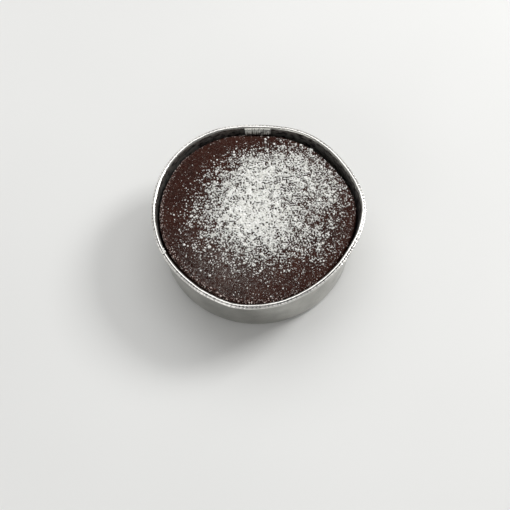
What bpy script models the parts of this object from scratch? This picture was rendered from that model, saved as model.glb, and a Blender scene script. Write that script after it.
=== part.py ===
"""Chocolate souffle in the foil cup that it was baked in.

Metres, +Z up. The origin is the centre of the cup's flat base, on the surface that it stands on.
+Y points to the back of the cup, where a fluted flap of foil is folded in under the rim.
A bearing is an angle round the cup, counterclockwise from +X.
"""

from math import atan2, cos, exp, hypot, pi, radians, remainder, sin, tan

import bmesh
import bpy
from mathutils import Vector, noise

# Foil cup: a thin sheet, whose radii and heights are to the middle of the foil.
CUP_HEIGHT = 0.028
RIM_RADIUS = 0.04385
FOIL = 0.0003
WALL_DRAFT = radians(5)
BASE_CORNER = 0.003
BEAD_RADIUS = 0.00105
BEAD_SWEEP = radians(265)

# What handling did to the soft foil, as (bearing, spread, outward push at the rim).
HAND_MARKS = (
    (radians(6), radians(20), 0.0015),
    (radians(56), radians(17), 0.0007),
    (radians(91), radians(18), -0.0013),
    (radians(132), radians(30), 0.00095),
    (radians(-144), radians(30), -0.0005),
    (radians(-98), radians(19), 0.0011),
    (radians(-42), radians(30), -0.0017),
)
HAND_MARK_GROWTH = 1.5

# Flap folded in under the bead at the back.
FLAP_BEARING = radians(90)
FLAP_WIDTH = 0.0122
FLAP_REACH = 0.0018
FLAP_DROP = 0.0015
FLAP_FLUTES = 9
FLAP_FLUTE_DEPTH = 0.00012

# Souffle: a low crown that stands just under the rim and has shrunk from the foil as it baked.
CLEARANCE = 0.0003
EDGE_HEIGHT = 0.025
CROWN_RISE = 0.002
SHOULDER = 0.0015
SHRINK_FROM = 0.014
SHRINK_ALL_ROUND = 0.0006
SHRINK_MARKS = (
    (radians(48), radians(28), 0.0011),
    (radians(-130), radians(22), 0.0005),
)
RELIEF_DEPTH = 0.0004
RELIEF_SPAN = 0.011

# Fineness of the facets.
SEGMENTS = 84
CORNER_STEPS = 4
WALL_STEPS = 4
BEAD_STEPS = 9
SHOULDER_STEPS = 3
CROWN_RINGS = 6
FACETS_PER_FLUTE = 4
MERGE_DISTANCE = 1e-6

# Finishes, as (colour, roughness, metallic).
FOIL_FINISH = ((0.80, 0.80, 0.78), 0.25, 1)
CRUST_FINISH = ((0.040, 0.021, 0.016), 0.75, 0)

WALL_TOP = CUP_HEIGHT - BEAD_RADIUS
WALL_TOP_RADIUS = RIM_RADIUS - 2 * BEAD_RADIUS + FOIL / 2
CORNER_HEIGHT = FOIL / 2 + BASE_CORNER


def wall_radius(height):
    """Radius of the round cup's wall, before it was handled."""
    return WALL_TOP_RADIUS - (WALL_TOP - height) * tan(WALL_DRAFT)


CORNER_RADIUS = wall_radius(CORNER_HEIGHT - BASE_CORNER * sin(WALL_DRAFT)) - BASE_CORNER * cos(WALL_DRAFT)


def swelling(bearing, marks):
    """Sum at a bearing of rounded marks, each given as (bearing, spread, depth)."""
    return sum(
        depth * exp(-((remainder(bearing - centre, 2 * pi) / spread) ** 2))
        for centre, spread, depth in marks
    )


def push(bearing, height):
    """How far handling moved the foil outward: nothing at the base, and the whole mark at the rim."""
    return swelling(bearing, HAND_MARKS) * (height / CUP_HEIGHT) ** HAND_MARK_GROWTH


def smooth_step(value, start, end):
    """0 before start, 1 after end, and an even curve between them."""
    share = min(max((value - start) / (end - start), 0), 1)
    return share * share * (3 - 2 * share)


def arc(radius, height, size, first, last, steps):
    """Points (radius, height) along an arc of that size, from the first angle to the last."""
    angles = [first + (last - first) * step / steps for step in range(steps + 1)]
    return [(radius + size * cos(angle), height + size * sin(angle)) for angle in angles]


def between(start, end, steps):
    """Evenly spaced values strictly between start and end."""
    return [start + (end - start) * step / steps for step in range(1, steps)]


def turned(name, profile):
    """Object turned round Z from points (radius, height) that start on the axis."""
    mesh = bmesh.new()
    points = [mesh.verts.new((radius, 0, height)) for radius, height in profile]
    edges = [mesh.edges.new(pair) for pair in zip(points, points[1:])]
    bmesh.ops.spin(
        mesh, geom=points + edges, axis=(0, 0, 1), cent=(0, 0, 0), angle=2 * pi, steps=SEGMENTS
    )
    return finished(name, mesh)


def finished(name, mesh):
    """Object made from the bmesh, with its seams merged and its faces turned the same way."""
    bmesh.ops.remove_doubles(mesh, verts=mesh.verts, dist=MERGE_DISTANCE)
    bmesh.ops.recalc_face_normals(mesh, faces=mesh.faces)
    data = bpy.data.meshes.new(name)
    mesh.to_mesh(data)
    mesh.free()
    data.shade_smooth()
    part = bpy.data.objects.new(name, data)
    bpy.context.scene.collection.objects.link(part)
    return part


def paint(part, name, colour, roughness, metallic):
    """Give the part a plain material of its own."""
    material = bpy.data.materials.new(name)
    material.use_nodes = True
    surface = material.node_tree.nodes["Principled BSDF"]
    surface.inputs["Base Color"].default_value = (*colour, 1)
    surface.inputs["Roughness"].default_value = roughness
    surface.inputs["Metallic"].default_value = metallic
    part.data.materials.append(material)


def thicken(part):
    """Give a sheet the thickness of the foil, half to each side."""
    solidify = part.modifiers.new("Foil thickness", "SOLIDIFY")
    solidify.thickness = FOIL
    solidify.offset = 0
    solidify.use_even_offset = True


def cup_profile():
    """The foil from the middle of the base, up the wall and round the rolled bead."""
    base_height = FOIL / 2
    corner = arc(CORNER_RADIUS, CORNER_HEIGHT, BASE_CORNER, -pi / 2, -WALL_DRAFT, CORNER_STEPS)
    wall = [(wall_radius(height), height) for height in between(corner[-1][1], WALL_TOP, WALL_STEPS)]
    bead = arc(
        RIM_RADIUS - BEAD_RADIUS, WALL_TOP, BEAD_RADIUS - FOIL / 2, pi, pi - BEAD_SWEEP, BEAD_STEPS
    )
    return [(0, base_height)] + corner + wall + bead


def flap_sheet():
    """Fluted flap: it starts just outside the wall's foil and slopes inward and down."""
    mesh = bmesh.new()
    half_angle = FLAP_WIDTH / WALL_TOP_RADIUS / 2
    columns = FLAP_FLUTES * FACETS_PER_FLUTE
    top_edge = []
    bottom_edge = []
    for column in range(columns + 1):
        turn = column / columns
        bearing = FLAP_BEARING + half_angle * (1 - 2 * turn)
        flute = FLAP_FLUTE_DEPTH * sin(2 * pi * FLAP_FLUTES * turn)
        outward = Vector((cos(bearing), sin(bearing), 0))
        wall = wall_radius(WALL_TOP) + push(bearing, WALL_TOP)
        top_edge.append(mesh.verts.new(outward * (wall + FOIL / 4) + Vector((0, 0, WALL_TOP))))
        tip = outward * (wall - FLAP_REACH + flute) + Vector((0, 0, WALL_TOP - FLAP_DROP + flute))
        bottom_edge.append(mesh.verts.new(tip))
    for column in range(columns):
        mesh.faces.new(
            (top_edge[column], top_edge[column + 1], bottom_edge[column + 1], bottom_edge[column])
        )
    return finished("flap", mesh)


def foil_cup():
    """Cup of one sheet of foil, with the marks of handling, a rolled bead and a flap at the back."""
    cup = turned("foil_cup", cup_profile())
    for vertex in cup.data.vertices:
        x, y, height = vertex.co
        radius = hypot(x, y)
        if radius > MERGE_DISTANCE:
            vertex.co.xy *= 1 + push(atan2(y, x), height) / radius
    thicken(cup)
    flap = flap_sheet()
    thicken(flap)
    flap.hide_render = True
    flap.display_type = "WIRE"
    join = cup.modifiers.new("Flap", "BOOLEAN")
    join.operation = "UNION"
    join.solver = "EXACT"
    join.object = flap
    paint(cup, "Foil", *FOIL_FINISH)
    return cup


def souffle_profile():
    """The cake from the middle of its base, up its side, over the shoulder and in across the crown."""
    inset = FOIL / 2 + CLEARANCE
    corner = arc(
        CORNER_RADIUS, CORNER_HEIGHT, BASE_CORNER - inset, -pi / 2, -WALL_DRAFT, CORNER_STEPS
    )
    shoulder_height = EDGE_HEIGHT - SHOULDER
    side_radius = wall_radius(shoulder_height) - inset
    side = [
        (wall_radius(height) - inset, height)
        for height in between(corner[-1][1], shoulder_height, WALL_STEPS)
    ]
    shoulder = arc(side_radius - SHOULDER, shoulder_height, SHOULDER, 0, pi / 2, SHOULDER_STEPS)
    edge_radius = shoulder[-1][0]
    crown = [
        (edge_radius * share, EDGE_HEIGHT + CROWN_RISE * (1 - share * share))
        for share in between(1, 0, CROWN_RINGS) + [0]
    ]
    return [(0, inset + FOIL / 2)] + corner + side + shoulder + crown


def souffle():
    """Cake that took the cup's shape, then shrank from the foil near its top as it cooled."""
    cake = turned("souffle", souffle_profile())
    side_top = EDGE_HEIGHT - SHOULDER
    for vertex in cake.data.vertices:
        x, y, height = vertex.co
        bearing = atan2(y, x)
        shrinkage = SHRINK_ALL_ROUND + swelling(bearing, SHRINK_MARKS)
        shrinkage *= smooth_step(height, SHRINK_FROM, side_top)
        moved = push(bearing, min(height, side_top)) - shrinkage
        vertex.co.xy *= 1 + moved / wall_radius(height)
        relief = noise.noise(Vector((x, y, 0)) / RELIEF_SPAN)
        vertex.co.z += RELIEF_DEPTH * relief * smooth_step(height, side_top, EDGE_HEIGHT)
    paint(cake, "Baked chocolate", *CRUST_FINISH)
    return cake


def clear_scene():
    """Remove every object that the scene starts with."""
    for old in list(bpy.data.objects):
        bpy.data.objects.remove(old, do_unlink=True)


clear_scene()
foil_cup()
souffle()
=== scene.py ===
# %% [markdown]
# # A chocolate souffle in its foil cup
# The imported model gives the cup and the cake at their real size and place. This file gives them
# their looks: thin creased foil with a rolled rim, a dark baked crust, and icing sugar sifted
# over it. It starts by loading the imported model, and every later size and place is read from it.

from math import cos, pi, radians, sin, tan

import bpy
import numpy as np
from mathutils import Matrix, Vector, noise
from mathutils.bvhtree import BVHTree


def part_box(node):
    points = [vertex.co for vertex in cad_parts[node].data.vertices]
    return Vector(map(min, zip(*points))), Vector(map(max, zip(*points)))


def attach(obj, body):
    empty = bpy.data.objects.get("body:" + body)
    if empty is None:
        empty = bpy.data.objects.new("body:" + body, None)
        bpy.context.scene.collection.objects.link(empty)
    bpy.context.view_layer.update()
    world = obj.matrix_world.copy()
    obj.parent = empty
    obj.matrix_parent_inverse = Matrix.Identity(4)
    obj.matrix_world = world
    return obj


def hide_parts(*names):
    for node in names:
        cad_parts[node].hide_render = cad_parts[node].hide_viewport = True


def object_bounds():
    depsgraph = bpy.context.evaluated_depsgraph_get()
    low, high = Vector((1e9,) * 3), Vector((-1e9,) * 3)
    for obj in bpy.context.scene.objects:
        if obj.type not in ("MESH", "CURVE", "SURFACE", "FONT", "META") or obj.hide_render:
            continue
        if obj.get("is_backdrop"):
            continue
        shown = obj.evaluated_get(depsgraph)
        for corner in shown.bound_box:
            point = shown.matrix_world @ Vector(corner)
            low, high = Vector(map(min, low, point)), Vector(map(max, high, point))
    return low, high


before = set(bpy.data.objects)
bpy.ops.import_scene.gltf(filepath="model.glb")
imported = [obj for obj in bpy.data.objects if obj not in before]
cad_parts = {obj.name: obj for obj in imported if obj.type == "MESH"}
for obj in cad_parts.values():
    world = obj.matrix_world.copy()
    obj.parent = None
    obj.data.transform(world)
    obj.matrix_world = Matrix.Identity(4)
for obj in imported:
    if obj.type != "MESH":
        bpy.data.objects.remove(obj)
cad_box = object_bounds()
mm = 0.001
print("packed nodes:", sorted(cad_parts))
print("packed box in mm:", [round(side / mm, 1) for side in cad_box[1] - cad_box[0]])

# %% [markdown]
# ## Small helpers
# Blender's operators act on whatever is selected, and loading leaves the imported nodes selected,
# so one helper selects a single piece and nothing else. Two more turn points into bearings and
# distances from the axis and back, because everything here is round. The last hands a finished
# piece to the imported model: it rides on the model's one body and hides the imported node that it
# stands for.

# %% Helpers for pieces
def only(piece):
    """Select this piece alone and make it the active one."""
    if bpy.context.mode != "OBJECT":
        bpy.ops.object.mode_set(mode="OBJECT")
    bpy.ops.object.select_all(action="DESELECT")
    piece.select_set(True)
    bpy.context.view_layer.objects.active = piece


def apply_modifiers(piece):
    """Make each modifier's result the piece's own mesh."""
    only(piece)
    for modifier in list(piece.modifiers):
        bpy.ops.object.modifier_apply(modifier=modifier.name)


def points_of(piece):
    """The piece's vertices as an array of points."""
    points = np.empty(len(piece.data.vertices) * 3)
    piece.data.vertices.foreach_get("co", points)
    return points.reshape(-1, 3)


def move_points(piece, points):
    """Put the piece's vertices at these points."""
    piece.data.vertices.foreach_set("co", np.ascontiguousarray(points).ravel())
    piece.data.update()


def polar(points):
    """Bearing of each point round the upright axis, and its distance from the axis."""
    return np.arctan2(points[:, 1], points[:, 0]), np.hypot(points[:, 0], points[:, 1])


def around(bearings, radii, heights):
    """Points at these bearings, distances from the axis and heights."""
    return np.c_[radii * np.cos(bearings), radii * np.sin(bearings), heights]


def hand_over(piece, node):
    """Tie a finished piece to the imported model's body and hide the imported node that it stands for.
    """
    piece.data.shade_smooth()
    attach(piece, "root")
    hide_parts(node)
    faces = sum(len(face.vertices) - 2 for face in piece.data.polygons)
    print(piece.name, "has", faces, "triangles")


# %% [markdown]
# ## Camera, lights and floor
# The camera looks down at the souffle at a steep angle, so that the sugared top shows almost
# whole and a strip of the cup's wall shows below its rim. A long lens keeps the circle nearly
# true, and there is room round the cup, as for a plate that it stands on.
# Three square panels light it. A small one stands high at the right and a little behind, like a
# window: it draws the bright line along the rolled rim and gives every clot of sugar a lit and a
# shaded side. A wide one overhead and behind fills the shadows and lays a grey sheen on the
# crust. A weak one in front, at the left, keeps the near wall and rim from going dark. A pale
# world lifts what is left. The view transform is Standard, because the colours are then the ones
# that were chosen.

# %% Camera
LOOK_DOWN = radians(62.39)
CAMERA_DISTANCE = 0.4588
LENS = 74.96
NEAREST_SEEN = 0.01
AIM = Vector((-0.8 * mm, -6.2 * mm, 0))

bpy.ops.object.camera_add(
    location=AIM + CAMERA_DISTANCE * Vector((0, -cos(LOOK_DOWN), sin(LOOK_DOWN))),
    rotation=(pi / 2 - LOOK_DOWN, 0, 0),
)
camera = bpy.context.object
camera.name = "camera"
camera.data.lens = LENS
camera.data.clip_start = NEAREST_SEEN
bpy.context.scene.camera = camera
bpy.context.scene.view_settings.view_transform = "Standard"
print("camera at", [round(place, 3) for place in camera.location])


# %% Lights
PANELS = (
    ("window_panel", (0.76, 0.42, 0.70), 0.34, 6.6),
    ("ceiling_panel", (-0.06, 0.52, 0.97), 1.20, 6.0),
    ("front_panel", (-0.55, -0.90, 0.46), 0.70, 2.0),
)
WORLD_STRENGTH = 0.34


def soft_panel(name, place, size, power):
    """Square area light of this size in metres and power in watts, facing the cup."""
    bpy.ops.object.light_add(type="AREA", location=place)
    panel = bpy.context.object
    panel.name = name
    panel.data.size = size
    panel.data.energy = power
    panel.rotation_euler = (-Vector(place)).to_track_quat("-Z", "Y").to_euler()


for panel in PANELS:
    soft_panel(*panel)
studio = bpy.data.worlds.new("pale_studio")
studio.use_nodes = True
studio.node_tree.nodes["Background"].inputs["Color"].default_value = (1, 1, 1, 1)
studio.node_tree.nodes["Background"].inputs["Strength"].default_value = WORLD_STRENGTH
bpy.context.scene.world = studio

# %% [markdown]
# ## Colours and nodes
# Colours are written as the sRGB hex values that a painter would pick on screen. Blender's
# shaders work in linear light, so one function turns a hex value into linear numbers. A second
# function adds a shader node with its settings and links, and every material is built with it.

# %% Helpers for materials
def linear(hex_colour):
    """Linear RGBA of an sRGB hex colour."""
    channels = [int(hex_colour[i:i + 2], 16) / 255 for i in (1, 3, 5)]
    return [c / 12.92 if c <= 0.04045 else ((c + 0.055) / 1.055) ** 2.4 for c in channels] + [1]


def add(material, kind, inputs=None, stops=(), **settings):
    """Add a shader node with its settings and links.

    An input is a value, or another node's output socket. The stops of a colour ramp are pairs of
    a position and a hex colour.
    """
    node = material.node_tree.nodes.new(kind)
    for name, value in settings.items():
        setattr(node, name, value)
    for name, value in (inputs or {}).items():
        if isinstance(value, bpy.types.NodeSocket):
            material.node_tree.links.new(value, node.inputs[name])
        else:
            node.inputs[name].default_value = value
    while stops and len(node.color_ramp.elements) < len(stops):
        node.color_ramp.elements.new(0.5)
    for number, (position, colour) in enumerate(stops):
        node.color_ramp.elements[number].position = position
        node.color_ramp.elements[number].color = linear(colour)
    return node


def empty_material(name):
    """A material with no nodes yet."""
    material = bpy.data.materials.new(name)
    material.use_nodes = True
    material.node_tree.nodes.clear()
    return material


def surfaced(material, inputs):
    """Finish a material: a Principled shader with these inputs, linked to the output."""
    surface = add(material, "ShaderNodeBsdfPrincipled", inputs)
    add(material, "ShaderNodeOutputMaterial", {"Surface": surface.outputs["BSDF"]})
    return material


# %% [markdown]
# ## Floor
# A plain pale surface. It is a plane with a very slight mottle, like smooth painted board, so
# that it takes a soft shadow without looking like empty space. It lies a hair below the cup's
# base, because two faces at one height flicker through each other.

# %% Floor
FLOOR_SIZE = 6.0
FLOOR_GAP = 0.05 * mm
MOTTLE_PER_METRE = 6.0


def painted_board():
    """Matt white paint on board: nearly even, with faint cloudy unevenness."""
    material = empty_material("painted_board")
    place = add(material, "ShaderNodeTexCoord").outputs["Object"]
    cloud = add(material, "ShaderNodeTexNoise",
                {"Vector": place, "Scale": MOTTLE_PER_METRE, "Detail": 2.0})
    paint = add(material, "ShaderNodeValToRGB", {"Fac": cloud.outputs["Fac"]},
                stops=((0.3, "#E4E4E2"), (0.7, "#E8E8E6")))
    return surfaced(material, {"Base Color": paint.outputs["Color"], "Roughness": 0.75})


bpy.ops.mesh.primitive_plane_add(size=FLOOR_SIZE, location=(0, 0, -FLOOR_GAP))
floor = bpy.context.object
floor.name = "floor"
floor.data.materials.append(painted_board())
floor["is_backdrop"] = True
print("floor is", FLOOR_SIZE, "m wide")

# %% [markdown]
# ## Reading the squeezed rim
# Hands have pressed the soft cup out of round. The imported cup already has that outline, so it is
# measured there: the outermost points at the height of the rolled rim, one for each column of
# facets. A short Fourier series through them gives a smooth outline with no corners, which the
# finer foil follows.

# %% Measure the rim's outline
cup_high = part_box("foil_cup")[1]
CUP_HEIGHT = cup_high.z
BEAD_RADIUS = 1.05 * mm
WALL_TOP = CUP_HEIGHT - BEAD_RADIUS
CAD_COLUMNS = 84
OUTLINE_WAVES = 16


def rim_series(node):
    """Mean radius of the node's rim, and the cosine and sine waves of its outline."""
    points = points_of(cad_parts[node])
    bearings, radii = polar(points[np.abs(points[:, 2] - WALL_TOP) < BEAD_RADIUS / 2])
    columns = np.round(bearings / (2 * pi) * CAD_COLUMNS).astype(int) % CAD_COLUMNS
    outline = np.array([radii[columns == column].max() for column in range(CAD_COLUMNS)])
    waves = np.fft.rfft(outline) / len(outline)
    return waves[0].real, 2 * waves[1:OUTLINE_WAVES + 1]


RIM_RADIUS, rim_waves = rim_series("foil_cup")


def rim_push(bearings):
    """How far the squeezed rim stands outside the mean circle at these bearings."""
    turns = np.outer(np.asarray(bearings).ravel(), np.arange(1, OUTLINE_WAVES + 1))
    return (rim_waves.real * np.cos(turns) - rim_waves.imag * np.sin(turns)).sum(axis=1)


print("rim radius and push at the back in mm:", RIM_RADIUS / mm, rim_push([pi / 2]) / mm)

# %% [markdown]
# ## The foil's profile
# The cup is one sheet of foil about a tenth of a millimetre thick. It was drawn over a punch, so
# the wall leans out a little from a rounded base corner, and its edge was rolled outward into a
# bead. One point is extruded step by step along that profile, out from the middle of the base,
# up the wall and round the bead, and then the profile is spun round the upright axis.
# Spinning suits it better than a cylinder, because the bead curls back under itself.

# %% Draw the profile and spin it
FOIL = 0.12 * mm
WALL_DRAFT = radians(5)
BASE_CORNER = 3 * mm
BEAD_SWEEP = radians(268)
BEAD_STEPS = 22
WALL_STEPS = 9
CORNER_STEPS = 6
SPIN_STEPS = 1080
BASE_SHARES = (0, 0.35, 0.7)
MERGE = 0.001 * mm

bead_middle = RIM_RADIUS - BEAD_RADIUS
bead_roll = BEAD_RADIUS - FOIL / 2
corner_height = FOIL / 2 + BASE_CORNER


def wall_radius(height):
    """Radius of the wall at a height, before anyone squeezed the cup."""
    return bead_middle - bead_roll - (WALL_TOP - height) * tan(WALL_DRAFT)


def arc(radius, height, size, first, last, steps):
    """Points (radius, 0, height) along an arc, from the first angle to the last."""
    angles = [first + (last - first) * step / steps for step in range(steps + 1)]
    return [Vector((radius + size * cos(a), 0, height + size * sin(a))) for a in angles]


def foil_profile():
    """The middle of the foil, from the centre of the base to the end of the bead."""
    corner_radius = wall_radius(corner_height - BASE_CORNER * sin(WALL_DRAFT))
    corner_radius -= BASE_CORNER * cos(WALL_DRAFT)
    base = [Vector((corner_radius * share, 0, FOIL / 2)) for share in BASE_SHARES]
    corner = arc(corner_radius, corner_height, BASE_CORNER, -pi / 2, -WALL_DRAFT, CORNER_STEPS)
    heights = np.linspace(corner[-1].z, WALL_TOP, WALL_STEPS + 1)[1:-1]
    wall = [Vector((wall_radius(height), 0, height)) for height in heights]
    bead = arc(bead_middle, WALL_TOP, bead_roll, pi, pi - BEAD_SWEEP, BEAD_STEPS)
    return base + corner + wall + bead


def spun(name, profile):
    """A sheet made by extruding one point along the profile and spinning it round Z."""
    bpy.ops.object.select_all(action="DESELECT")
    bpy.ops.mesh.primitive_plane_add(size=mm)
    piece = bpy.context.object
    piece.name = name
    bpy.ops.object.mode_set(mode="EDIT")
    bpy.ops.mesh.merge(type="CENTER")
    bpy.ops.transform.translate(value=profile[0])
    for here, there in zip(profile, profile[1:]):
        bpy.ops.mesh.extrude_region_move(TRANSFORM_OT_translate={"value": there - here})
    bpy.ops.mesh.select_all(action="SELECT")
    bpy.ops.mesh.spin(steps=SPIN_STEPS, angle=2 * pi, center=(0, 0, 0), axis=(0, 0, 1))
    bpy.ops.mesh.select_all(action="SELECT")
    bpy.ops.mesh.remove_doubles(threshold=MERGE)
    bpy.ops.mesh.normals_make_consistent(inside=False)
    bpy.ops.object.mode_set(mode="OBJECT")
    return piece


cup = spun("foil_cup_sheet", foil_profile())
print("spun foil has", len(cup.data.vertices), "points")

# %% [markdown]
# ## Squeezing and crimping the foil
# A spun shape is too perfect. The wall takes the outline that hands gave it, growing from nothing
# at the stiff base to the whole push at the rim. It gets shallow dents and upright draw lines,
# as drawn foil has. The bead is rolled by a tool that nips it every millimetre or two, so a
# groove runs along it, small nips cross the groove at uneven steps, and the thin metal between
# them is finely crinkled. These are moves of many points by a rule, so they are done on the
# points themselves and not with an operator.

# %% Shape the foil
PUSH_GROWTH = 1.5
WALL_LOOSE = (BASE_CORNER, 3 * BASE_CORNER)
GROOVE_ANGLE = radians(62)
GROOVE_SPREAD = radians(15)
GROOVE_DEPTH = 0.42 * mm
NIP_PITCHES = (1.1 * mm, 2.3 * mm)
NIP_LENGTH = 0.32 * mm
NIP_DEPTH = 0.24 * mm
NIP_SPREAD = radians(34)
NIP_STRENGTHS = (0.35, 1.0)
NIP_SAMPLES = 8 * SPIN_STEPS
DENT_SPAN = 13 * mm
DENT_DEPTH = 0.30 * mm
DRAW_LINE_PITCH = 2.6 * mm
DRAW_LINE_DEPTH = 0.045 * mm
DRAW_LINE_LENGTH = 10
NEAR_BEAD = 1.1
ON_BEAD = 1.05
BEAD_WANDER = 0.10 * mm
WANDER_SPAN = 5 * mm
WANDER_TURNS = 0.8
BEAD_CRINKLE = 0.055 * mm
CRINKLE_SPAN = 1.1 * mm
CRINKLE_TURNS = 1.6

rng = np.random.default_rng(20)


def smooth_step(value, start, end):
    """0 before start, 1 after end, and an even curve between."""
    share = np.clip((np.asarray(value) - start) / (end - start), 0, 1)
    return share * share * (3 - 2 * share)


def noise_at(points):
    """Blender's smooth noise at each row of an array, from -1 to 1."""
    return np.array([noise.noise(Vector(point)) for point in points])


def roll_nips():
    """Even steps along the bead, and how deep the tool's nips are at each, from 0 to 1."""
    way = 2 * pi * RIM_RADIUS
    places = np.cumsum(rng.uniform(*NIP_PITCHES, size=int(way / NIP_PITCHES[0])))
    places = places[places < way - NIP_PITCHES[0]]
    strengths = rng.uniform(*NIP_STRENGTHS, size=len(places))
    table = np.linspace(0, way, NIP_SAMPLES)
    depth = np.zeros_like(table)
    for place, strength in zip(places, strengths):
        depth += strength * np.exp(-(((table - place) / NIP_LENGTH) ** 2))
    return table, depth


nip_steps, nip_depths = roll_nips()


def nips_at(bearings):
    """Depth of the tool's nips at these bearings, from 0 to 1."""
    return np.interp(np.mod(bearings, 2 * pi) * RIM_RADIUS, nip_steps, nip_depths)


def squeeze(piece):
    """Give the spun foil its nips, its dents and the outline of the squeezed rim."""
    points = points_of(piece)
    bearings, radii = polar(points)
    heights = points[:, 2]

    roll = np.arctan2(heights - WALL_TOP, radii - bead_middle)
    near = NEAR_BEAD * bead_roll
    on_bead = (radii > bead_middle - near) & (heights > WALL_TOP - near)
    on_bead &= np.hypot(radii - bead_middle, heights - WALL_TOP) < ON_BEAD * bead_roll
    groove = np.exp(-(((roll - GROOVE_ANGLE) / GROOVE_SPREAD) ** 2))
    nipped = np.exp(-(((roll - GROOVE_ANGLE) / NIP_SPREAD) ** 2)) * nips_at(bearings)
    sink = on_bead * (GROOVE_DEPTH * groove + NIP_DEPTH * nipped)
    along = np.c_[np.cos(bearings), np.sin(bearings)] * RIM_RADIUS
    sink += on_bead * BEAD_WANDER * noise_at(np.c_[along / WANDER_SPAN, roll * WANDER_TURNS])
    sink += on_bead * BEAD_CRINKLE * noise_at(np.c_[along / CRINKLE_SPAN, roll * CRINKLE_TURNS])
    radii = radii - sink * np.cos(roll)
    heights = heights - sink * np.sin(roll)

    on_wall = smooth_step(heights, *WALL_LOOSE)
    dents = noise_at(np.c_[along / DENT_SPAN, heights / DENT_SPAN])
    upright = heights / (DRAW_LINE_LENGTH * DRAW_LINE_PITCH)
    lines = noise_at(np.c_[along / DRAW_LINE_PITCH, upright])
    moved = on_wall * (DENT_DEPTH * dents + DRAW_LINE_DEPTH * lines)
    moved += rim_push(bearings) * (heights / CUP_HEIGHT) ** PUSH_GROWTH
    radii = np.maximum(radii + moved * (radii > BASE_CORNER), 0)
    move_points(piece, around(bearings, radii, heights))


squeeze(cup)
print("foil outline in mm:", (np.ptp(points_of(cup), axis=0) / mm).round(1))

# %% [markdown]
# ## The fluted flap
# At the back, where the foil's edge was gathered, a short strip is folded in under the bead and
# pressed into narrow flutes, and one end of it bulges in a fold. It stands off the wall and
# throws a dark line below itself. It starts as a flat grid, is laid round the rim with its ends
# closing back on the wall, and is joined to the cup, because it is the same sheet of foil. Its
# path from top to bottom is pairs of a distance in from the wall and a height from the rim. Three
# small puckers beside it are the same gathering fading out. Each is given by its bearing, its
# height from the rim, half its width and its depth. The sheet gets its thickness last, half to
# each side, without even offset, which would throw long spikes out of the sharp flutes.

# %% Make the flap and the puckers
FLAP_BEARING = radians(89.5)
FLAP_WIDTH = 12.8 * mm
FLAP_FLUTES = 12
FLAP_FLUTE_DEPTH = 0.85 * mm
FLUTE_NARROW = 0.17
FLUTE_SPAN = 1.6 * mm
FLUTE_STRAY = 0.35
FLUTE_LEAST = 0.7
FLUTE_GROWS = (0.05, 0.45)
FLUTE_LIFT = 0.4
FOLD_PLACE = 0.75 * mm
FOLD_WIDTH = 0.35 * mm
FOLD_BULGE = 0.60 * mm
FLAP_CLOSING = 0.5 * mm
FLAP_COLUMNS = 180
FLAP_ROWS = 18
FLAP_PATH = ((-0.10 * mm, -0.45 * mm), (0.55 * mm, -0.62 * mm), (1.35 * mm, -1.35 * mm),
             (1.85 * mm, -2.35 * mm))
PUCKERS = (
    (radians(77.5), -2.1 * mm, 0.85 * mm, 0.55 * mm),
    (radians(71), -2.0 * mm, 0.60 * mm, 0.30 * mm),
    (radians(62), -1.9 * mm, 1.10 * mm, 0.30 * mm),
)
PUCKER_TALL = 0.9 * mm


def fluted_flap():
    """A strip of foil laid along the inside of the rim at the back."""
    bpy.ops.object.select_all(action="DESELECT")
    bpy.ops.mesh.primitive_grid_add(
        x_subdivisions=FLAP_COLUMNS, y_subdivisions=FLAP_ROWS, size=1
    )
    flap = bpy.context.object
    flap.name = "flap"
    grid = points_of(flap)
    across = (0.5 - grid[:, 0]) * FLAP_WIDTH
    down = 0.5 - grid[:, 1]
    turn = across / RIM_RADIUS + FLAP_BEARING - FLAP_WIDTH / RIM_RADIUS / 2
    knots = np.linspace(0, 1, len(FLAP_PATH))
    reach = np.interp(down, knots, [point[0] for point in FLAP_PATH])
    drop = np.interp(down, knots, [point[1] for point in FLAP_PATH])
    ends = np.minimum(across, FLAP_WIDTH - across)
    closing = smooth_step(ends, 0, FLAP_CLOSING)
    uneven = noise_at(np.c_[across / FLUTE_SPAN, 0 * across, down])
    phase = np.mod(FLAP_FLUTES * across / FLAP_WIDTH + FLUTE_STRAY * uneven, 1) - 0.5
    flute = np.exp(-((phase / FLUTE_NARROW) ** 2)) * (FLUTE_LEAST + uneven)
    flute *= FLAP_FLUTE_DEPTH * smooth_step(down, *FLUTE_GROWS) * closing
    flute -= FOLD_BULGE * np.exp(-(((FLAP_WIDTH - across - FOLD_PLACE) / FOLD_WIDTH) ** 2)) * down
    wall = wall_radius(WALL_TOP) + rim_push(turn)
    radii = wall - reach * closing + flute
    move_points(flap, around(turn, radii, CUP_HEIGHT + drop + FLUTE_LIFT * flute))
    return flap


def pucker(piece):
    """Push small rounded folds of the wall inward just under the rim."""
    points = points_of(piece)
    bearings, radii = polar(points)
    below_bead = points[:, 2] < WALL_TOP
    for bearing, height, half_width, depth in PUCKERS:
        across = (bearings - bearing) * RIM_RADIUS / half_width
        up = (points[:, 2] - CUP_HEIGHT - height) / PUCKER_TALL
        radii = radii - below_bead * depth * np.exp(-(across**2) - up**2)
    move_points(piece, around(bearings, radii, points[:, 2]))


def join_into(piece, other):
    """Join another object's mesh into this piece."""
    only(piece)
    other.select_set(True)
    bpy.ops.object.join()


def thicken(piece, thickness):
    """Give a sheet its thickness, half to each side."""
    solidify = piece.modifiers.new("thickness", "SOLIDIFY")
    solidify.thickness = thickness
    solidify.offset = 0
    apply_modifiers(piece)


pucker(cup)
join_into(cup, fluted_flap())
thicken(cup, FOIL)
print("foil sheet closed:", len(cup.data.polygons), "faces")
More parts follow.
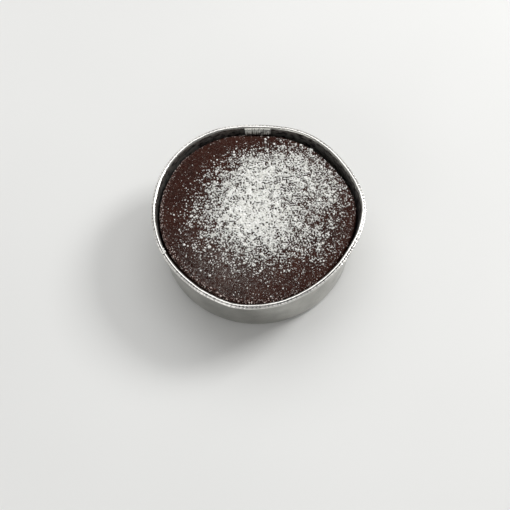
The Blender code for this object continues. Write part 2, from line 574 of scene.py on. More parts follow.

# %% [markdown]
# ## Rolled aluminium foil
# Cup foil is aluminium rolled to a tenth of a millimetre. The eye reads it by three things:
# bright soft-edged reflections, fine lines along the direction of rolling, and shallow creases
# where it was bent. So the shader is a metal of pale neutral grey, fairly smooth, with two bumps,
# one for the rolling lines and one for the creases, and smears of fat that change its shine.
# Aluminium keeps the default index of refraction.
# Three numbers are stored on each point. The two crests of the bead are smoother, and their
# colour is painted brighter: a painted highlight, so that a thin bright line runs along them
# under any light. The groove between them is painted dark: painted shade, a little all along it
# and most in the nips. The inside was baked with the batter, so a film lies over it that is not
# quite metal, and dark splashes are stuck to it.

# %% Foil finish
ROLLING_LINE = 0.25 * mm
CREASE = 2.5 * mm
SMEAR = 9 * mm
SPLASH = 2.6 * mm
SPLASH_SQUAT = 2.2
BAKED_FILM = 0.86
FILM_ROUGHNESS = 0.22
CREST_ROUGHNESS = -0.08
GROOVE_SHADE_EVEN = 0.42
GROOVE_SHADE_SPREAD = radians(24)
CRESTS = ((radians(32), radians(20)), (radians(97), radians(19)))
FILM_FROM = (0.3 * BEAD_RADIUS, BEAD_RADIUS)
LINE_STRETCH = 0.04


def rolled_foil():
    """Rolled aluminium foil: soft reflections, rolling lines, creases, baked film, a painted highlight
    on the crests and painted shade in the groove.
    """
    material = empty_material("rolled_aluminium_foil")
    place = add(material, "ShaderNodeTexCoord").outputs["Object"]
    stretched = add(material, "ShaderNodeMapping",
                    {"Vector": place, "Scale": (1, LINE_STRETCH, 1)})
    lines = add(material, "ShaderNodeTexNoise",
                {"Vector": stretched.outputs["Vector"], "Scale": 1 / ROLLING_LINE, "Detail": 2.0})
    creases = add(material, "ShaderNodeTexNoise",
                  {"Vector": place, "Scale": 1 / CREASE, "Detail": 3.0, "Roughness": 0.6})
    smears = add(material, "ShaderNodeTexNoise",
                 {"Vector": place, "Scale": 1 / SMEAR, "Detail": 4.0})
    grey = add(material, "ShaderNodeValToRGB", {"Fac": smears.outputs["Fac"]},
               stops=((0.35, "#A3A29D"), (0.65, "#BAB9B3")))
    # Painted highlight: along the bead's crests the colour is mixed towards near white.
    crest_highlight = add(material, "ShaderNodeAttribute", attribute_name="crest_highlight")
    bright = add(material, "ShaderNodeMix",
                 {"Factor": crest_highlight.outputs["Fac"], "A": grey.outputs["Color"],
                  "B": linear("#FAF8F4")},
                 data_type="RGBA")
    inside = add(material, "ShaderNodeAttribute", attribute_name="inside")
    squat = add(material, "ShaderNodeMapping", {"Vector": place, "Scale": (1, 1, SPLASH_SQUAT)})
    splashes = add(material, "ShaderNodeTexNoise",
                   {"Vector": squat.outputs["Vector"], "Scale": 1 / SPLASH, "Detail": 5.0,
                    "Roughness": 0.65})
    splashed = add(material, "ShaderNodeMapRange",
                   {"Value": splashes.outputs["Fac"], "From Min": 0.46, "From Max": 0.62})
    stuck = add(material, "ShaderNodeMath",
                {0: inside.outputs["Fac"], 1: splashed.outputs["Result"]}, operation="MULTIPLY")
    # Painted shade in the bead's groove and nips. The same dark colour also serves the real baked
    # splashes inside.
    groove_shade = add(material, "ShaderNodeAttribute", attribute_name="groove_shade")
    splashes_and_groove_shade = add(material, "ShaderNodeMath",
                 {0: stuck.outputs["Value"], 1: groove_shade.outputs["Fac"]}, operation="MAXIMUM")
    tinted = add(material, "ShaderNodeMix",
                 {"Factor": splashes_and_groove_shade.outputs["Value"], "A": bright.outputs["Result"],
                  "B": linear("#454243")},
                 data_type="RGBA")
    metal = add(material, "ShaderNodeMapRange",
                {"Value": inside.outputs["Fac"], "To Min": 1.0, "To Max": BAKED_FILM})
    dullness = add(material, "ShaderNodeMapRange",
                   {"Value": smears.outputs["Fac"], "From Min": 0.3, "From Max": 0.7,
                    "To Min": 0.26, "To Max": 0.16})
    duller = add(material, "ShaderNodeMath",
                 {0: inside.outputs["Fac"], 1: FILM_ROUGHNESS, 2: dullness.outputs["Result"]},
                 operation="MULTIPLY_ADD")
    polished = add(material, "ShaderNodeMath",
                   {0: crest_highlight.outputs["Fac"], 1: CREST_ROUGHNESS, 2: duller.outputs["Value"]},
                   operation="MULTIPLY_ADD")
    fine = add(material, "ShaderNodeBump",
               {"Height": lines.outputs["Fac"], "Strength": 0.35, "Distance": 0.02 * mm})
    bent = add(material, "ShaderNodeBump",
               {"Height": creases.outputs["Fac"], "Strength": 0.5, "Distance": 0.12 * mm,
                "Normal": fine.outputs["Normal"]})
    return surfaced(material, {
        "Base Color": tinted.outputs["Result"],
        "Metallic": metal.outputs["Result"],
        "Roughness": polished.outputs["Value"],
        "Anisotropic": 0.2,
        "Normal": bent.outputs["Normal"],
    })


def store(piece, name, values):
    """Keep one number for each point of the piece."""
    attribute = piece.data.attributes.new(name, "FLOAT", "POINT")
    attribute.data.foreach_set("value", np.asarray(values, dtype=np.float32))


def facing_inward(piece):
    """1 where the foil faces the cake, below the bead, and 0 elsewhere."""
    normals = np.empty(len(piece.data.vertices) * 3)
    piece.data.vertices.foreach_get("normal", normals)
    points = points_of(piece)
    outward = (normals.reshape(-1, 3)[:, :2] * points[:, :2]).sum(axis=1)
    return (outward < 0) * smooth_step(CUP_HEIGHT - points[:, 2], *FILM_FROM)


def roll_of(piece):
    """Angle of each point round the middle of the bead: 0 faces out, a right angle is up."""
    points = points_of(piece)
    bearings, radii = polar(points)
    radii -= rim_push(bearings) * (points[:, 2] / CUP_HEIGHT) ** PUSH_GROWTH
    return np.arctan2(points[:, 2] - WALL_TOP, radii - bead_middle)


def on_the_crests(piece):
    """1 along the two crests of the bead, on either side of its groove, and 0 elsewhere."""
    roll = roll_of(piece)
    return np.max([np.exp(-(((roll - crest) / width) ** 2)) for crest, width in CRESTS], axis=0)


def painted_groove_shade(piece):
    """Painted shade in the groove of the bead: a little all along it, and most in the nips."""
    in_groove = np.exp(-(((roll_of(piece) - GROOVE_ANGLE) / GROOVE_SHADE_SPREAD) ** 2))
    nips = nips_at(polar(points_of(piece))[0])
    return np.minimum(in_groove**2 * GROOVE_SHADE_EVEN + in_groove * nips, 1)


# Painted shade in the bead's groove, darkest in the nips.
store(cup, "groove_shade", painted_groove_shade(cup))
store(cup, "inside", facing_inward(cup))
# Painted highlight along the two crests of the bead.
store(cup, "crest_highlight", on_the_crests(cup))
cup.data.materials.clear()
cup.data.materials.append(rolled_foil())
hand_over(cup, "foil_cup")

# %% [markdown]
# ## The baked crust
# The cake was poured as batter and took the cup's shape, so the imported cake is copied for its
# exact outline. Its loose triangles are merged and remeshed into small even squares, which can
# carry fine relief, and smoothed, so that no facet shows. Then the crust is raised and sunk by
# rule: slow swells left by the rising batter, a fine grain, and burst bubbles in a ring along the
# edge, where the batter boiled against the hot foil. A few millimetres inside the edge the crown
# tore as it rose, which leaves a thin crack in short broken stretches.

# %% Copy and remesh the cake
SQUARE = 0.46 * mm
SMOOTHINGS = 12

cake = bpy.data.objects.new("souffle_cake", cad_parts["souffle"].data.copy())
bpy.context.scene.collection.objects.link(cake)
only(cake)
bpy.ops.object.mode_set(mode="EDIT")
bpy.ops.mesh.select_all(action="SELECT")
bpy.ops.mesh.remove_doubles(threshold=MERGE)
bpy.ops.object.mode_set(mode="OBJECT")
remesh = cake.modifiers.new("even squares", "REMESH")
remesh.mode = "VOXEL"
remesh.voxel_size = SQUARE
soften = cake.modifiers.new("soften facets", "SMOOTH")
soften.factor = 0.5
soften.iterations = SMOOTHINGS
apply_modifiers(cake)
print("remeshed cake has", len(cake.data.polygons), "squares")

# %% Raise the crust's relief
cake_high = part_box("souffle")[1]
EDGE_HEIGHT = 25 * mm
CRUST_FROM = EDGE_HEIGHT - 3.5 * mm
SIDE_HEIGHT = EDGE_HEIGHT - 1.5 * mm
SIDE_BAND = 0.6 * mm
SWELL_SPAN = 7 * mm
SWELL_DEPTH = 0.22 * mm
GRAIN_SPAN = 1.5 * mm
GRAIN_DEPTH = 0.07 * mm
BUBBLE_SPAN = 1.9 * mm
BUBBLE_DEPTH = 0.45 * mm
HOLLOW_WIDTH = 0.28
LIP_PLACE = 0.42
LIP_WIDTH = 0.12
LIP_RISE = 0.45
BUBBLE_PATCH = 4 * mm
BUBBLE_PATCHY = (-0.35, 0.35)
LEAST_BUBBLES = 0.35
RING_WIDTH = 2.6 * mm
CRACK_INSIDE = 3.9 * mm
CRACK_WIDTH = 0.45 * mm
CRACK_DEPTH = 0.55 * mm
CRACK_DASH = 2.2 * mm
CRACK_OPENS = (-0.05, 0.25)
GRAIN_SHIFT, PATCH_SHIFT, CRACK_SHIFT = 7, 3, 21


def edge_distance(points):
    """How far each point lies inside the crown's edge, measured along the radius."""
    bearings, radii = polar(points)
    return cake_edge(bearings) - radii


def cake_outline():
    """Bearings and radii of the cake's side just below its shoulder."""
    points = points_of(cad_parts["souffle"])
    bearings, radii = polar(points[np.abs(points[:, 2] - SIDE_HEIGHT) < SIDE_BAND])
    order = np.argsort(bearings)
    return bearings[order], radii[order]


outline_bearings, outline_radii = cake_outline()


def cake_edge(bearings):
    """Radius of the cake's edge at these bearings."""
    return np.interp(bearings, outline_bearings, outline_radii, period=2 * pi)


def bubbles_at(points):
    """Round hollows with raised lips, from -1 in a hollow to a little above 0 on its lip."""
    nearest = np.array([noise.voronoi(Vector(point))[0][0] for point in points / BUBBLE_SPAN])
    lip = LIP_RISE * np.exp(-(((nearest - LIP_PLACE) / LIP_WIDTH) ** 2))
    return -np.exp(-((nearest / HOLLOW_WIDTH) ** 2)) + lip


def relieve(piece):
    """Raise and sink the crust's points. Each shift makes its noise another one."""
    points = points_of(piece)
    on_crust = smooth_step(points[:, 2], CRUST_FROM, EDGE_HEIGHT)
    top = np.flatnonzero(on_crust > 0)
    here = points[top]
    swell = SWELL_DEPTH * noise_at(here / SWELL_SPAN)
    grain = GRAIN_DEPTH * noise_at(here / GRAIN_SPAN + GRAIN_SHIFT)
    ring = np.exp(-((edge_distance(here) / RING_WIDTH) ** 2))
    patchy = smooth_step(noise_at(here / BUBBLE_PATCH + PATCH_SHIFT), *BUBBLE_PATCHY)
    bubbles = BUBBLE_DEPTH * bubbles_at(here) * ring
    bubbles *= LEAST_BUBBLES + (1 - LEAST_BUBBLES) * patchy
    points[top, 2] += on_crust[top] * (swell + grain + bubbles)
    crack = np.exp(-(((edge_distance(here) - CRACK_INSIDE) / CRACK_WIDTH) ** 2))
    broken = smooth_step(noise_at(here / CRACK_DASH + CRACK_SHIFT), *CRACK_OPENS)
    points[top, 2] -= on_crust[top] * CRACK_DEPTH * crack * broken
    move_points(piece, points)


relieve(cake)
print("crust stands at", round(points_of(cake)[:, 2].max() / mm, 2), "mm")

# %% [markdown]
# ## Where the sugar fell
# The sugar was shaken over the middle and then towards the back right, so it lies thick in the
# middle, thinner behind and at the right, and leaves a veil of single grains everywhere else. The
# fall is described as the number of layers of grains at a place: a few round lobes, each with a
# centre, a width and a weight. One function answers for the bed, for the grains, and for the haze
# that the finest dust leaves on the crust. Damp sugar falls in little clots, so two sizes of noise
# break it up. The noise is turned into a rank from 0 to 1 that is evenly spread, and a place is
# covered where its rank is below its cover. The white share is then the one that was asked for.

# %% Describe the fall of sugar
SUGAR_LOBES = (
    (-1.5 * mm, -0.3 * mm, 14.6 * mm, 3.8),
    (0 * mm, 18.5 * mm, 8.2 * mm, 2.3),
    (16 * mm, 21.5 * mm, 9.5 * mm, 1.5),
    (26 * mm, 10.5 * mm, 9 * mm, 1.15),
    (21.5 * mm, -10.5 * mm, 10 * mm, 0.4),
    (6 * mm, -12 * mm, 8 * mm, 0.5),
)
SUGAR_VEIL = 0.005
CLUMP_SPAN = 0.58 * mm
PATCH_SPAN = 2.4 * mm
PATCH_WEIGHT = 0.45
RANK_SAMPLE = 20000
CLUMP_SHIFT = 9


def sugar_cover(points):
    """Share of the crust that sugar hides at these places, from 0 to 1."""
    layers = np.full(len(points), SUGAR_VEIL)
    for x, y, width, weight in SUGAR_LOBES:
        away = (points[:, 0] - x) ** 2 + (points[:, 1] - y) ** 2
        layers += weight * np.exp(-away / width**2)
    return 1 - np.exp(-layers)


def clump_pattern(points):
    """Two sizes of noise that break the sugar into clumps and gaps."""
    flat = points * (1, 1, 0)
    return noise_at(flat / CLUMP_SPAN) + PATCH_WEIGHT * noise_at(flat / PATCH_SPAN + CLUMP_SHIFT)


clump_scale = np.sort(clump_pattern(rng.uniform(-1, 1, size=(RANK_SAMPLE, 3)) * cup_high.x))


def clump_rank(points):
    """0 in the middle of the strongest clump, 1 in the barest gap, and even between."""
    return 1 - np.searchsorted(clump_scale, clump_pattern(points)) / RANK_SAMPLE


print("cover in the middle:", sugar_cover(np.zeros((1, 3))).round(2))

# %% [markdown]
# ## Baked chocolate crust
# The crust is cocoa, egg and sugar dried by the oven: a nearly black brown, redder where it is
# thin, with a fine grain of pores. The shader is a rough dielectric with the index of refraction
# of cocoa butter, and its specular level is low, because the pores swallow most of the gloss.
# Its colour wanders through three browns over centimetres and is freckled at the size of a pore,
# and the pores are a bump too. Two numbers are stored on each point. The sheen is painted: a grey
# patch at the front left, mixed into the colour where a reflection of the overhead light would
# lie, with more pale specks in it. The haze says how many pale specks there are, which stand for
# the finest sugar, too small to model. Real specks are finer still: these are as coarse as they
# need to be to show.

# %% Crust finish
CLOUD = 11 * mm
FRECKLE = 0.9 * mm
PORE = 0.55 * mm
COCOA_BUTTER_IOR = 1.46
SPECK = 0.36 * mm
LEAST_DUST = 0.26
SHEEN_PLACE = Vector((-14 * mm, -27 * mm))
SHEEN_REACH = 17 * mm
SHEEN_GRAIN = 0.75 * mm
SHEEN_STRENGTH = 0.52
SHEEN_DUST = 0.35
FRECKLE_SHARE = 0.45


def baked_crust():
    """Dark baked chocolate: freckled brown, finely porous, with a painted grey sheen, and specked with
    dust.
    """
    material = empty_material("baked_chocolate_crust")
    place = add(material, "ShaderNodeTexCoord").outputs["Object"]
    cloud = add(material, "ShaderNodeTexNoise",
                {"Vector": place, "Scale": 1 / CLOUD, "Detail": 3.0})
    freckle = add(material, "ShaderNodeTexNoise",
                  {"Vector": place, "Scale": 1 / FRECKLE, "Detail": 3.0, "Roughness": 0.7})
    pore = add(material, "ShaderNodeTexNoise",
               {"Vector": place, "Scale": 1 / PORE, "Detail": 2.0, "Roughness": 0.6})
    browns = add(material, "ShaderNodeValToRGB", {"Fac": cloud.outputs["Fac"]},
                 stops=((0.30, "#2A110C"), (0.50, "#351810"), (0.70, "#402016")))
    freckles = add(material, "ShaderNodeValToRGB", {"Fac": freckle.outputs["Fac"]},
                   stops=((0.35, "#110705"), (0.55, "#2B130D"), (0.74, "#4A2E27")))
    mixed = add(material, "ShaderNodeMix",
                {"Factor": FRECKLE_SHARE, "A": browns.outputs["Color"], "B": freckles.outputs["Color"]},
                data_type="RGBA")
    # Painted sheen: a grey patch at the front left, broken up by a fine noise.
    painted_sheen = add(material, "ShaderNodeAttribute", attribute_name="painted_sheen")
    sheen_noise = add(material, "ShaderNodeTexNoise",
              {"Vector": place, "Scale": 1 / SHEEN_GRAIN, "Detail": 2.0, "Roughness": 0.6})
    sheen_breakup = add(material, "ShaderNodeMapRange",
                {"Value": sheen_noise.outputs["Fac"], "From Min": 0.42, "From Max": 0.60})
    sheen_share = add(material, "ShaderNodeMath", {0: painted_sheen.outputs["Fac"], 1: sheen_breakup.outputs["Result"]},
                 operation="MULTIPLY")
    sheened = add(material, "ShaderNodeMix",
                  {"Factor": sheen_share.outputs["Value"], "A": mixed.outputs["Result"],
                   "B": linear("#655F5C")},
                  data_type="RGBA")
    haze = add(material, "ShaderNodeAttribute", attribute_name="haze")
    speck = add(material, "ShaderNodeTexNoise",
                {"Vector": place, "Scale": 1 / SPECK, "Detail": 1.0, "Roughness": 0.7})
    specks = add(material, "ShaderNodeMapRange",
                 {"Value": speck.outputs["Fac"], "From Min": 0.58, "From Max": 0.70,
                  "To Max": 0.60})
    dust = add(material, "ShaderNodeMath", {0: haze.outputs["Fac"], 1: specks.outputs["Result"]},
               operation="MULTIPLY")
    dusted = add(material, "ShaderNodeMix",
                 {"Factor": dust.outputs["Value"], "A": sheened.outputs["Result"],
                  "B": linear("#C9C2B8")},
                 data_type="RGBA")
    gloss = add(material, "ShaderNodeMapRange",
                {"Value": cloud.outputs["Fac"], "From Min": 0.3, "From Max": 0.7,
                 "To Min": 0.42, "To Max": 0.60})
    porous = add(material, "ShaderNodeBump",
                 {"Height": pore.outputs["Fac"], "Strength": 0.8, "Distance": 0.22 * mm})
    return surfaced(material, {
        "Base Color": dusted.outputs["Result"],
        "Roughness": gloss.outputs["Result"],
        "IOR": COCOA_BUTTER_IOR,
        "Specular IOR Level": 0.05,
        "Normal": porous.outputs["Normal"],
    })


crust_points = points_of(cake)
facing_up = smooth_step(crust_points[:, 2], CRUST_FROM, EDGE_HEIGHT)
dusty = LEAST_DUST + (1 - LEAST_DUST) * sugar_cover(crust_points)
sheen_away = np.hypot(*(crust_points[:, :2] - SHEEN_PLACE).T)
sheened = np.exp(-((sheen_away / SHEEN_REACH) ** 2))
# Painted sheen on the crust at the front left, where more pale specks also lie.
store(cake, "painted_sheen", SHEEN_STRENGTH * facing_up * sheened)
store(cake, "haze", facing_up * np.minimum(dusty + SHEEN_DUST * sheened, 1))
cake.data.materials.clear()
cake.data.materials.append(baked_crust())
hand_over(cake, "souffle")

# %% [markdown]
# ## Grains, modelled once and copied
# A grain is a small lump of sugar, never round. A low sphere is squashed and knocked about in a
# dozen ways by seeded chance, and the copies pick from those dozen, each turned at random and then
# flattened a little, because a soft lump settles where it lands. Copies are placed by arithmetic
# on whole arrays of points and become one joined mesh for each size, because tens of thousands of
# objects would be far too slow, and because instances are lost when the model is exported. The
# coarse clots get an ico sphere of eighty faces, because their shape shows, most grains one of
# twenty, and the finest a sphere of four segments and three rings, sixteen triangles.

# %% Make the grain shapes
SHAPES = 12
NARROWEST = (0.75, 0.6, 0.5)
WIDEST = (1.15, 1.0, 0.85)
SETTLED = 0.70


def grain_shapes(add_primitive, roughness):
    """Points of a dozen knocked-about copies of a primitive one unit across, and its faces."""
    bpy.ops.object.select_all(action="DESELECT")
    add_primitive()
    lump = bpy.context.object
    corners = points_of(lump)
    lump.data.calc_loop_triangles()
    faces = np.array([triangle.vertices for triangle in lump.data.loop_triangles])
    bpy.data.objects.remove(lump)
    shapes = []
    for _ in range(SHAPES):
        knocked = corners * rng.uniform(1 - roughness, 1 + roughness, size=(len(corners), 1))
        shapes.append(knocked * rng.uniform(NARROWEST, WIDEST))
    return np.array(shapes), faces


def add_mote():
    """Sphere of four segments and three rings: sixteen triangles."""
    bpy.ops.mesh.primitive_uv_sphere_add(segments=4, ring_count=3, radius=0.5)


def add_lump():
    """Sphere of twenty faces."""
    bpy.ops.mesh.primitive_ico_sphere_add(subdivisions=1, radius=0.5)


def add_fine_lump():
    """Sphere of eighty faces, for clots big enough to show their shape."""
    bpy.ops.mesh.primitive_ico_sphere_add(subdivisions=2, radius=0.5)


def turned_at_random(count):
    """One random rotation matrix for each copy."""
    quarter = rng.normal(size=(count, 4))
    w, x, y, z = (quarter / np.linalg.norm(quarter, axis=1, keepdims=True)).T
    rows = [[1 - 2 * (y * y + z * z), 2 * (x * y - w * z), 2 * (x * z + w * y)],
            [2 * (x * y + w * z), 1 - 2 * (x * x + z * z), 2 * (y * z - w * x)],
            [2 * (x * z - w * y), 2 * (y * z + w * x), 1 - 2 * (x * x + y * y)]]
    return np.array(rows).transpose(2, 0, 1)


def joined_copies(name, shapes, faces, places, sizes):
    """One mesh of a randomly turned and slightly flattened copy of a shape at each place."""
    picked = shapes[rng.integers(len(shapes), size=len(places))]
    turned = np.einsum("cij,cpj->cpi", turned_at_random(len(places)), picked)
    points = turned * (1, 1, SETTLED) * sizes[:, None, None] + places[:, None, :]
    offsets = np.arange(len(places))[:, None, None] * shapes.shape[1]
    corners = (faces[None] + offsets).reshape(-1, 3)
    mesh = bpy.data.meshes.new(name)
    mesh.from_pydata(points.reshape(-1, 3), [], corners)
    piece = bpy.data.objects.new(name, mesh)
    bpy.context.scene.collection.objects.link(piece)
    return piece


motes = grain_shapes(add_mote, roughness=0.25)
lumps = grain_shapes(add_lump, roughness=0.28)
fine_lumps = grain_shapes(add_fine_lump, roughness=0.18)
for faces in (motes[1], lumps[1], fine_lumps[1]):
    print("grain shape of", len(faces), "triangles")

# %% [markdown]
# ## Icing sugar
# Icing sugar is milled so fine that light scatters inside every clot, so it looks chalk white
# with no gloss. The shader is a very rough dielectric, faintly warm, with a small noise of grey so
# that no two clots are the same white, and a finer noise as bump for their powdery surface.

# %% Sugar finish
CLOT_TINT = 0.8 * mm
POWDER = CLOT_TINT / 4
SUGAR_IOR = 1.54


def milled_sugar():
    """Icing sugar: chalky white without gloss, each clot a slightly different white."""
    material = empty_material("milled_icing_sugar")
    place = add(material, "ShaderNodeTexCoord").outputs["Object"]
    tint = add(material, "ShaderNodeTexNoise",
               {"Vector": place, "Scale": 1 / CLOT_TINT, "Detail": 2.0})
    whites = add(material, "ShaderNodeValToRGB", {"Fac": tint.outputs["Fac"]},
                 stops=((0.35, "#E7E6E0"), (0.60, "#FBFBF8")))
    fine = add(material, "ShaderNodeTexNoise",
               {"Vector": place, "Scale": 1 / POWDER, "Detail": 2.0})
    soft = add(material, "ShaderNodeBump",
               {"Height": fine.outputs["Fac"], "Strength": 0.5, "Distance": 0.08 * mm})
    return surfaced(material, {
        "Base Color": whites.outputs["Color"],
        "Roughness": 0.92,
        "IOR": SUGAR_IOR,
        "Normal": soft.outputs["Normal"],
    })


icing_sugar = milled_sugar()

# %% [markdown]
# ## The bed of sugar
# Where the sugar lies thick its grains touch, and the eye sees one white crust with small dark
# holes in it, not single grains. Modelling that with grains alone would take millions. So a fine
# flat grid is laid over the cake, each of its points is lifted above the crust by the depth of
# sugar there, and the points of the bare gaps are deleted. What is left is smoothed, to round off
# the corners of the grid's squares, and thickened downward into the crust to close it.

# %% Lay the bed of sugar
BED_CELL = 0.225 * mm
BED_REACH = 36 * mm
BED_DEPTH = 0.56 * mm
BED_LEAST = 0.06 * mm
BED_SINK = 0.10 * mm
BED_GAIN = 1.05
BED_FROM = 0.08
BED_RISE = 0.22
LUMPY_SPAN = 0.50 * mm
LUMPY_DEPTH = 0.26 * mm
BED_FROM_EDGE = 1.2 * mm
LUMPY_SHIFT = 4


def tree_of(piece):
    """The piece's surface, ready for rays."""
    corners = [vertex.co for vertex in piece.data.vertices]
    return BVHTree.FromPolygons(corners, [face.vertices for face in piece.data.polygons])


def height_of(tree, x, y):
    """Height of the first surface under a place, or 0."""
    hit = tree.ray_cast(Vector((x, y, 2 * CUP_HEIGHT)), Vector((0, 0, -1)))[0]
    return hit.z if hit else 0.0


def sugar_bed():
    """The lumpy sheet where the sugar lies thick."""
    squares = int(2 * BED_REACH / BED_CELL)
    bpy.ops.object.select_all(action="DESELECT")
    bpy.ops.mesh.primitive_grid_add(
        x_subdivisions=squares, y_subdivisions=squares, size=2 * BED_REACH
    )
    bed = bpy.context.object
    bed.name = "sugar_bed"
    points = points_of(bed)
    spare = BED_GAIN * sugar_cover(points) - BED_FROM - clump_rank(points)
    bare = (spare < 0) | (edge_distance(points) < BED_FROM_EDGE)
    for number in np.flatnonzero(~bare):
        points[number, 2] = height_of(crust_tree, points[number, 0], points[number, 1])
    lumpy = LUMPY_DEPTH * noise_at(points / LUMPY_SPAN + LUMPY_SHIFT)
    rise = smooth_step(spare, 0, BED_RISE)
    points[:, 2] += BED_LEAST + rise * (BED_DEPTH + lumpy)
    move_points(bed, points)
    only(bed)
    for vertex, gone in zip(bed.data.vertices, bare):
        vertex.select = bool(gone)
    for parts in (bed.data.edges, bed.data.polygons):
        parts.foreach_set("select", np.zeros(len(parts), dtype=bool))
    bpy.ops.object.mode_set(mode="EDIT")
    bpy.ops.mesh.select_mode(type="VERT")
    bpy.ops.mesh.delete(type="VERT")
    bpy.ops.mesh.select_all(action="SELECT")
    bpy.ops.mesh.delete_loose(use_faces=False)
    bpy.ops.object.mode_set(mode="OBJECT")
    smooth = bed.modifiers.new("round the squares", "SMOOTH")
    smooth.factor = 0.5
    smooth.iterations = 1
    close = bed.modifiers.new("close", "SOLIDIFY")
    close.thickness = BED_SINK + BED_LEAST
    close.offset = -1
    apply_modifiers(bed)
    return bed


crust_tree = tree_of(cake)
bed = sugar_bed()
bed.data.materials.append(icing_sugar)
bed_tree = tree_of(bed)
hand_over(bed, "souffle")

# %% [markdown]
# ## Sifting
# Each loose grain gets a place by chance: a spot anywhere on the crown is kept or thrown back by
# how much sugar fell there and by the clumps. Where next to none fell, nothing is kept, so the
# drift has an edge. Beyond it lies only the veil, and the veil is thicker towards the front right,
# the way the last of the sugar drifted. A ray dropped from above finds the crust or the bed under
# each spot. Grains that fall where others already lie must rest on them, so a fine grid remembers
# how high they stand, and each new grain is set on top and raises it. The coarse ones land first.

# %% Sift the sugar
CELL = 0.3 * mm
SETTLING = 0.42
SEAT = 0.22
SIZE_SHAPE = (1.3, 2.2)
TRIES = 3
MARGIN = 2
KEEP_FROM_EDGE = 0.6 * mm
FALL_EDGE = (0.0, 0.09)
DRIFT = (0.6, -0.8)
DRIFT_SPAN = (-52 * mm, 20 * mm)

grid_side = int(2 * cake_high.x / CELL) + 4 * MARGIN
heap = np.zeros((grid_side, grid_side))


def chosen_spots(count, spread, fringe, veil):
    """Spots on the crown. Spread blurs clumps, fringe favours thin sugar, veil falls anywhere."""
    spots = np.empty((0, 3))
    reach = cake_high.x
    tries = TRIES * count
    while len(spots) < count:
        tried = np.c_[rng.uniform(-reach, reach, size=(tries, 2)), np.zeros(tries)]
        tried = tried[edge_distance(tried) > KEEP_FROM_EDGE]
        cover = sugar_cover(tried)
        wanted = smooth_step(cover - clump_rank(tried), -spread, spread)
        wanted *= (1 - fringe * cover) * smooth_step(cover, *FALL_EDGE)
        wanted += veil * smooth_step(tried[:, :2] @ DRIFT, *DRIFT_SPAN)
        spots = np.vstack([spots, tried[rng.uniform(0, 1, size=len(tried)) < wanted]])
    return spots[:count]


def lay(spots, sizes):
    """Set each grain on what is under it: the crust, the bed or other grains."""
    cells = ((spots[:, :2] + cake_high.x) / CELL).astype(int) + MARGIN
    cells = np.clip(cells, 1, grid_side - MARGIN)
    for number, (column, row) in enumerate(cells):
        x, y = spots[number, :2]
        under = heap[column, row]
        ground = max(height_of(crust_tree, x, y), height_of(bed_tree, x, y))
        spots[number, 2] = ground + under + SEAT * sizes[number]
        reach = max(1, int(round(sizes[number] / CELL / 2)))
        block = heap[column - reach + 1:column + reach, row - reach + 1:row + reach]
        np.maximum(block, under + SETTLING * sizes[number], out=block)
    return spots


def sift(name, shapes, count, smallest, largest, **fall):
    """One joined piece of sugar grains of about one size."""
    sizes = smallest + (largest - smallest) * rng.beta(*SIZE_SHAPE, size=count)
    spots = lay(chosen_spots(count, **fall), sizes)
    piece = joined_copies(name, *shapes, spots, sizes)
    piece.data.materials.append(icing_sugar)
    hand_over(piece, "souffle")


sift("sugar_clots", fine_lumps, 300, 0.75 * mm, 1.45 * mm, spread=0.12, fringe=0.90, veil=0.010)
sift("sugar_lumps", lumps, 3700, 0.44 * mm, 0.92 * mm, spread=0.04, fringe=0.65, veil=0.008)
sift("sugar_grains", lumps, 7200, 0.28 * mm, 0.56 * mm, spread=0.05, fringe=0.45, veil=0.026)
sift("sugar_powder", motes, 12000, 0.16 * mm, 0.30 * mm, spread=0.10, fringe=0.80, veil=0.130)

# %% [markdown]
# ## Crumbs along the edge, and a fleck on the rim
# Against the hot foil the batter boiled, dried and broke, so a ring of dry crumbs lies between the
# smooth crust and the cup, thickest at the left and the front. They are paler and redder than the
# crust, because they are dry inside, and the palest parts carry sugar. They are the lumps of sugar
# over again with another finish, laid in the same way on what is under them. A little sugar also
# missed the cake and stuck to the rolled rim at the left: a small heap of the same lumps, set
# close together round one spot of the bead. Across the bead they are spread by a middle and a
# deviation, and up it between two heights.

# %% Crumb finish and crumbs
CRUMB_TINT = 0.7 * mm
CRUMB_COUNT = 1500
CRUMB_BAND = 2.2 * mm
CRUMB_GAP = 0.25 * mm
CRUMB_CROWD = (1.0, 2.6)
CRUMB_SIZES = (0.30 * mm, 0.95 * mm)
CRUMB_SIZE_SHAPE = (1.2, 3.0)
CRUMB_MIDDLE = radians(-148)
CRUMB_SPREAD = radians(75)
CRUMB_LEAST = 0.12
CRUMB_TRIES = 6
FLECK_BEARING = radians(-153)
FLECK_LENGTH = 0.9 * mm
FLECK_GRAINS = 22
FLECK_SIZES = (0.45 * mm, 0.90 * mm)
FLECK_ACROSS = (-0.2 * mm, 0.3 * mm)
FLECK_HEIGHTS = (-0.10 * mm, 0.20 * mm)


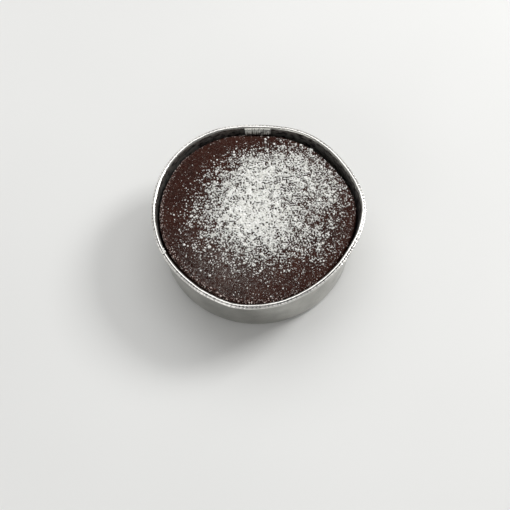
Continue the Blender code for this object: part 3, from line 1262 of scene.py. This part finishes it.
def dry_crumb():
    """Dry chocolate crumb: matt reddish brown, dusted white in places."""
    material = empty_material("dry_chocolate_crumb")
    place = add(material, "ShaderNodeTexCoord").outputs["Object"]
    tint = add(material, "ShaderNodeTexNoise",
               {"Vector": place, "Scale": 1 / CRUMB_TINT, "Detail": 3.0})
    browns = add(material, "ShaderNodeValToRGB", {"Fac": tint.outputs["Fac"]},
                 stops=((0.44, "#240D08"), (0.53, "#6A3526"), (0.60, "#EADFD8")))
    return surfaced(material, {"Base Color": browns.outputs["Color"], "Roughness": 0.85,
                               "IOR": COCOA_BUTTER_IOR})


def edge_crumbs():
    """Crumbs in a ring along the cake's edge, thick at the left and the front."""
    bearings = rng.uniform(-pi, pi, size=CRUMB_TRIES * CRUMB_COUNT)
    away = (bearings - CRUMB_MIDDLE + pi) % (2 * pi) - pi
    wanted = CRUMB_LEAST + np.exp(-((away / CRUMB_SPREAD) ** 4))
    kept = rng.uniform(0, 1 + CRUMB_LEAST, size=len(bearings)) < wanted
    bearings = bearings[kept][:CRUMB_COUNT]
    inward = CRUMB_GAP + CRUMB_BAND * rng.beta(*CRUMB_CROWD, size=len(bearings))
    radii = cake_edge(bearings) - inward
    spots = around(bearings, radii, 0 * radii)
    smallest, largest = CRUMB_SIZES
    sizes = smallest + (largest - smallest) * rng.beta(*CRUMB_SIZE_SHAPE, size=len(spots))
    return joined_copies("edge_crumbs", *lumps, lay(spots, sizes), sizes)


def rim_fleck():
    """A few grains of sugar that missed the cake and stuck to the rolled rim."""
    bearings = FLECK_BEARING + rng.normal(0, FLECK_LENGTH / RIM_RADIUS, size=FLECK_GRAINS)
    radii = bead_middle + rim_push(bearings) + rng.normal(*FLECK_ACROSS, size=FLECK_GRAINS)
    heights = CUP_HEIGHT + rng.uniform(*FLECK_HEIGHTS, size=FLECK_GRAINS)
    sizes = rng.uniform(*FLECK_SIZES, size=FLECK_GRAINS)
    return joined_copies("rim_fleck", *lumps, around(bearings, radii, heights), sizes)


fleck = rim_fleck()
fleck.data.materials.append(icing_sugar)
hand_over(fleck, "foil_cup")
crumbs = edge_crumbs()
crumbs.data.materials.append(dry_crumb())
hand_over(crumbs, "souffle")

# %% [markdown]
# ## Sizes, and the end
# The looks must not change the object's size, so the imported model's box and the finished model's
# box are printed side by side.

# %% Print the boxes
looks_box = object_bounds()
for name, (low, high) in (("packed", cad_box), ("finished", looks_box)):
    print(name, "size in mm:", [round(side / mm, 2) for side in high - low])
